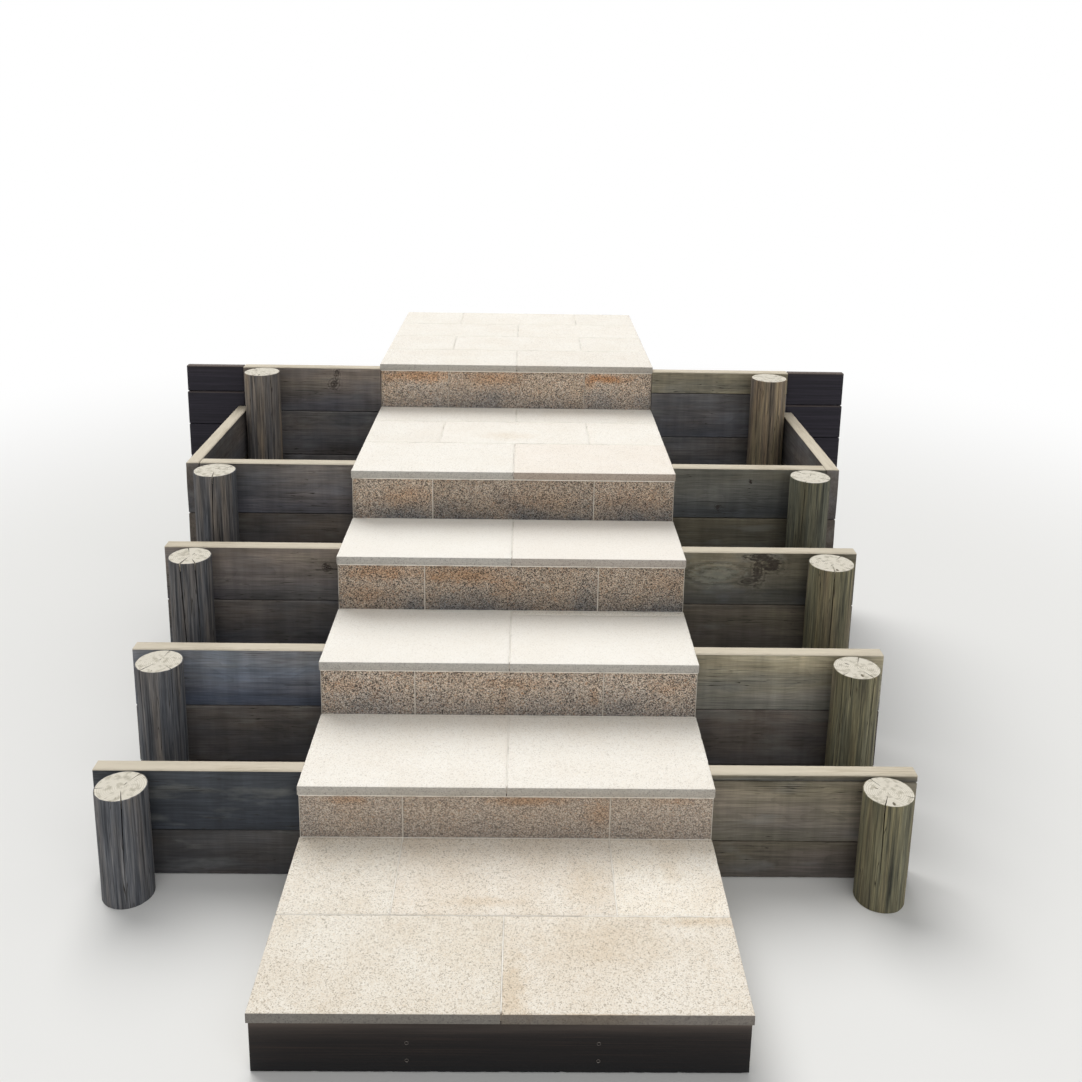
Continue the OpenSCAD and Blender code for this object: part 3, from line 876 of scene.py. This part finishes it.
def stack(node, seed, turned=False):
    """The sleepers of a wall, the top one as the photo shows it and duller ones below."""
    low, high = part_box(node)
    length, thick = (high.y - low.y, high.x - low.x) if turned else (high.x - low.x, high.y - low.y)
    tone, warmth, damp_and_shade = FACES.get(node, LOWER_FACE)
    boards = []
    for k, (foot, tall) in enumerate(down_to_ground(high.z, TOP_BOARD.get(node, SLEEPER_H), SLEEPER_H)):
        rng = random.Random(seed + k)
        extras = {"pitch": LOWER_PITCH}
        if k == 0:
            extras = {"pitch": FACE_PITCH, "knots": KNOTS.get(node, ()), "splits": SPLITS.get(node, ())}
            extras["open_top"] = 1.0
        boards.append(sawn_board(
            length, thick, tall, seed + k, heart=rng.uniform(0.03, 0.12), at=(low.x, low.y, foot),
            turned=turned, tone=tone, warmth=warmth, damp_and_shade=damp_and_shade, **extras,
        ))
        tone = min(tone, LOWER_FACE[0]) * rng.uniform(0.85, 1.1)
        warmth = (warmth + LOWER_FACE[1]) / 2 + rng.uniform(-0.15, 0.15)
        if k == 0:
            tone, warmth = UNDER_PACKING.get(node, (tone, warmth))
        damp_and_shade = LOWER_FACE[2]
    return boards


for number in range(1, 6):
    for side, base in (("left", 20), ("right", 60)):
        node = f"{side}_wall_{number}"
        boards = stack(node, base + 7 * number)
        set_in_place(f"{side}_sleepers_{number}", boards, sawn_pine, "pine_sleeper", node)
for side, seed in (("left", 110), ("right", 120)):
    boards = stack(f"{side}_return", seed, turned=True)
    set_in_place(f"{side}_return_sleepers", boards, sawn_pine, "pine_sleeper", f"{side}_return")


# Log posts: treated pine rounds, 150 mm, driven in front of the walls near their ends
# and sawn level with them. Drying has split them from the bark towards the heart, wide
# at the mouth and closing inwards, and the splits run on across the pale sawn top.
AROUND = 108
RIM, RIM_DEPTH, SAWN_DIP = 0.0035, 0.0012, 0.0004
BARK_GAP = 0.0004
VALLEY = 0.03
MOUTH_STEPS, MOUTH_LEAST, MOUTH_ROOM = (-1.0, -0.55, 0.0, 0.55, 1.0), 0.0006, 0.0022
SLANT_OVER, SLANT_SPREAD = 0.2, 0.5
# Swells and flutes of the side: how deep, how wide and how much shorter than long they are
SIDE_WAVES = ((0.0022, 0.06, 0.25), (0.0015, 0.009, 0.05))
TOP_SHARES = (0.99, 0.93, 0.84, 0.72, 0.6, 0.47, 0.34, 0.22, 0.11)


def turn_from(turn, facing):
    """The turn from facing, in degrees, to a bearing, between -pi and pi."""
    return (turn - math.radians(facing) + math.pi) % (2 * math.pi) - math.pi


def split_log(high, diameter, seed, tone, warmth, dashes, checks):
    """A post on its foot. checks are (degrees from straight ahead, mouth in mm, depth as a
    share of the radius, fall, slant in degrees), closing down the fall. Marks: grain is
    the place from the heart, top is 1 on the sawn end and 0 on the side, tone and warmth
    are how light and brown the side is, and dashes how checked the end."""
    rng = random.Random(seed)
    shift = Vector((seed * 1.9, seed * 2.7, seed * 0.9))
    radius = diameter / 2 - BARK_GAP
    columns = []
    for turn in (2 * math.pi * k / AROUND for k in range(AROUND)):
        if all(abs(turn_from(turn, c[0])) * radius > 0.75 * c[1] / 1000 + MOUTH_ROOM for c in checks):
            columns.append((turn, None, 0.0))
    for k, check in enumerate(checks):
        facing = math.radians(check[0]) % (2 * math.pi)
        columns += [(facing, k, step) for step in MOUTH_STEPS]
    columns.sort(key=lambda column: (column[0], column[2]))
    drops = [0.0, RIM_DEPTH, 0.006, 0.012, *np.arange(0.022, min(high, 0.30), 0.012)]
    drops += list(np.arange(0.32, high - 0.01, 0.035)) + [high]

    def bearing(turn, k, step, drop):
        moved = turn
        for facing, _, _, _, slant in checks:
            lean = math.radians(slant) * drop / SLANT_OVER
            moved += lean * math.exp(-((turn_from(turn, facing) / SLANT_SPREAD) ** 2))
        if k is not None:
            closing = max(0.0, 1 - (drop / checks[k][3]) ** 1.6)
            moved += step * (checks[k][1] / 1000 * closing / 2 + MOUTH_LEAST) / radius
        return moved

    def place(turn, r, z):
        return math.sin(turn) * r, -math.cos(turn) * r, z

    points = []
    for drop in drops[::-1]:
        z = high - drop
        for turn, k, step in columns:
            turn = bearing(turn, k, step, drop)
            spot = Vector(place(turn, radius, z))
            r = radius
            for deep, wide, along in SIDE_WAVES:
                r -= deep * (1 + noise.noise(Vector((spot.x, spot.y, z * along)) / wide + shift)) / 2
            if drop < RIM_DEPTH:
                r -= RIM * (0.6 + 0.4 * noise.noise(spot / 0.02 + shift))
            if k is not None and step == 0.0:
                r -= checks[k][2] * radius * max(0.0, 1 - drop / checks[k][3]) ** 0.5
            points.append(place(turn, r, z - (SAWN_DIP if drop == 0 else 0.0)))
    on_side = len(points)
    n = len(columns)
    faces = skin_over(len(drops), n) + [tuple(range(n))[::-1]]
    for share in TOP_SHARES:
        below = len(points) - n
        for turn, k, step in columns:
            turn = bearing(turn, k, step, 0.0)
            r = (radius - RIM * 1.2) * share
            uneven = noise.noise(Vector((math.sin(turn) * r, math.cos(turn) * r, 0)) / 0.03 + shift)
            z = high - SAWN_DIP - 0.0003 * (1 + uneven)
            if k is not None and step == 0.0:
                inner = 1 - checks[k][2]
                z -= VALLEY * min(1.0, max(0.0, (share - inner) / (1.001 - inner))) ** 0.6
            points.append(place(turn, r, z))
        faces += between(below, below + n, n)
    centre = len(points)
    points.append((0.0, 0.0, high - 2 * SAWN_DIP))
    faces += [(centre - n + k, centre - n + (k + 1) % n, centre) for k in range(n)]
    local = np.array(points)
    heart = np.array([rng.uniform(-0.006, 0.006), rng.uniform(-0.006, 0.006), rng.random() * 7])
    top = [0.0] * on_side + [1.0] * (len(points) - on_side)
    marks = {"grain": local + heart, "top": top, "tone": tone, "warmth": warmth, "dashes": dashes}
    return local, faces, marks


def treated_log(name):
    """Grey, olive and brown sides strongly streaked along the grain, and a pale end with
    rings and short dark checks that radiate from the heart."""
    material, add = new_material(name)
    grain = add("Attribute.grain", out="Vector")
    tone, top, dashes = (add("Attribute." + mark, out="Fac") for mark in ("tone", "top", "dashes"))
    patch = along_grain(add, grain, (22.0, 22.0, 2.0), 3.0)
    fibre = along_grain(add, grain, (260.0, 260.0, 7.0), 3.0, Roughness=0.65)
    streak = along_grain(add, grain, (85.0, 85.0, 3.0), 5.0, Roughness=0.7)
    level = product(add, tone, (fibre, 0.6, 1.4), (streak, 0.15, 1.85), (patch, 0.75, 1.25))
    dry = add("MapRange", streak, 0.4, 0.62)
    side = drifting_colour(add, patch, "#66696f", "#786b5a", "#6e6a53", "#68695a")
    for tint in (level, add("MixRGB", dry, "#f2f4f8", "#fff8ef")):
        side = add("MixRGB.MULTIPLY", 1.0, side, tint)
    crack = drying_cracks(add, grain, (95.0, 95.0, 3.5), 0.02, streak)
    side = add("MixRGB", crack, side, "#25211a")
    parts = add("SeparateXYZ", grain).node.outputs
    radius = distance(add, parts["X"], parts["Y"])
    warp = add("TexNoise", Vector=grain, Scale=30.0, Detail=2.0)
    year = add("Math.FRACT", add("Math.MULTIPLY_ADD", radius, 170.0, warp))
    rings = [(0.0, "#dfd9cb"), (0.6, "#dfd9cb"), (0.9, "#c3b9a5"), (1.0, "#d8d0bf")]
    end = add("ValToRGB", year, stops=rings)
    turn = add("Math.MULTIPLY", add("Math.ARCTAN2", parts["Y"], parts["X"]), 3.2)
    polar = add("CombineXYZ", turn, add("Math.MULTIPLY", radius, 30.0), tone)
    cell = add("TexVoronoi", Vector=polar, Scale=1.0, Randomness=0.9).node.outputs
    pick = add("Math.LESS_THAN", add("SeparateColor", cell["Color"], out="Red"), dashes)
    dash = add("Math.MULTIPLY", add("MapRange", cell["Distance"], 0.3, 0.2), pick)
    dirt = add("TexNoise", Vector=grain, Scale=60.0, Detail=4.0)
    dirt = add("MapRange", dirt, 0.5, 0.65, 0.0, 0.5)
    for share, tint in ((dash, "#4d4536"), (dirt, "#8f8770")):
        end = add("MixRGB", share, end, tint)
    wood = add("MixRGB", top, side, end)
    height = add("Math.SUBTRACT", fibre, add("MixRGB", top, crack, dash))
    return coat(material, wood, 0.85, 1.45, height, 0.6, 0.0018)


round_pine = treated_log("treated_pine_log")
# How light and how far from grey each post's side is, how checked its end, and its checks. The left posts'
# low warmth, which makes them greyer and bluer, paints the shade they stand in.
POSTS = {
    "left_post_1": (0.82, 0.04, 0.15, (20, 5, 0.62, 0.26, -4), (-80, 3, 0.3, 0.15, 2), (150, 4, 0.5, 0.3, 2)),
    "left_post_2": (0.82, 0.06, 0.2, (-35, 6, 0.7, 0.34, 3), (48, 3, 0.35, 0.2, -3), (170, 4, 0.5, 0.3, 0)),
    "left_post_3": (0.71, 0.07, 0.2, (-12, 11, 0.75, 0.6, 5), (30, 6, 0.45, 0.3, 2), (-160, 4, 0.5, 0.4, 0)),
    "left_post_4": (0.76, 0.09, 0.2, (8, 6, 0.72, 0.5, -4), (-60, 3, 0.3, 0.3, 2), (130, 5, 0.5, 0.5, 3)),
    "left_post_5": (1.08, 0.2, 0.1, (40, 4, 0.6, 0.5, 2), (-22, 3, 0.35, 0.3, 0), (-140, 4, 0.5, 0.5, 0)),
    "right_post_1": (0.98, 0.7, 0.15, (-25, 5, 0.62, 0.26, 3), (66, 3, 0.3, 0.15, 0), (-150, 4, 0.5, 0.3, 0)),
    "right_post_2": (1.05, 0.7, 0.15, (30, 5, 0.6, 0.3, -3), (-50, 3, 0.35, 0.2, 3), (160, 4, 0.5, 0.3, 0)),
    "right_post_3": (1.02, 0.68, 0.35, (-6, 5, 0.85, 0.5, 0), (44, 2, 0.3, 0.3, 0), (140, 4, 0.5, 0.4, 0)),
    "right_post_4": (0.74, 0.92, 0.2, (62, 3, 0.45, 0.4, 0), (-28, 2, 0.25, 0.3, 0), (-150, 4, 0.5, 0.5, 0)),
    "right_post_5": (1.3, 0.4, 0.1, (-48, 3, 0.4, 0.3, 0), (24, 3, 0.4, 0.4, -3), (130, 4, 0.5, 0.5, 0)),
}
for seed, (node, (tone, warmth, dashes, *checks)) in enumerate(POSTS.items()):
    low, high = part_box(node)
    points, faces, marks = split_log(high.z, high.x - low.x, seed + 1, tone, warmth, dashes, checks)
    middle = np.array([(low.x + high.x) / 2, (low.y + high.y) / 2, 0.0])
    name = node.replace("_post_", "_log_")
    set_in_place(name, [(points + middle, faces, marks)], round_pine, "pine_log", node, sharp=50.0)


# Stained boards: the dark boards that carry the top wall on past the last sleeper,
# sawn decking stained nearly black, the lower ones a little forward of the top one.
# The top one on the left is a narrower board.
STAINED_H, SLIM_STAINED_H, STAINED_T = 0.146, 0.115, 0.036
STEP = 0.008
STAINED_PITCH = 0.016
OPEN_TOPS = (1.0, 0.5, 0.0)
for side, seed, first in (("left", 140, SLIM_STAINED_H), ("right", 150, STAINED_H)):
    node = f"{side}_stained_boards"
    low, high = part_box(node)
    boards = []
    for k, (foot, tall) in enumerate(down_to_ground(high.z, first, STAINED_H)):
        at = low.x, low.y + (0.0 if k else STEP), foot
        boards.append(sawn_board(
            high.x - low.x, STAINED_T, tall, seed + k, pitch=STAINED_PITCH, at=at,
            open_top=OPEN_TOPS[min(k, 2)],
        ))
    stain = dark_stained_board(f"{side}_dark_stained_boards", high.z, 0.1, ("#141219", "#24212a", "#35313a"))
    set_in_place(f"{side}_dark_boards", boards, stain, "stained_timber", node)
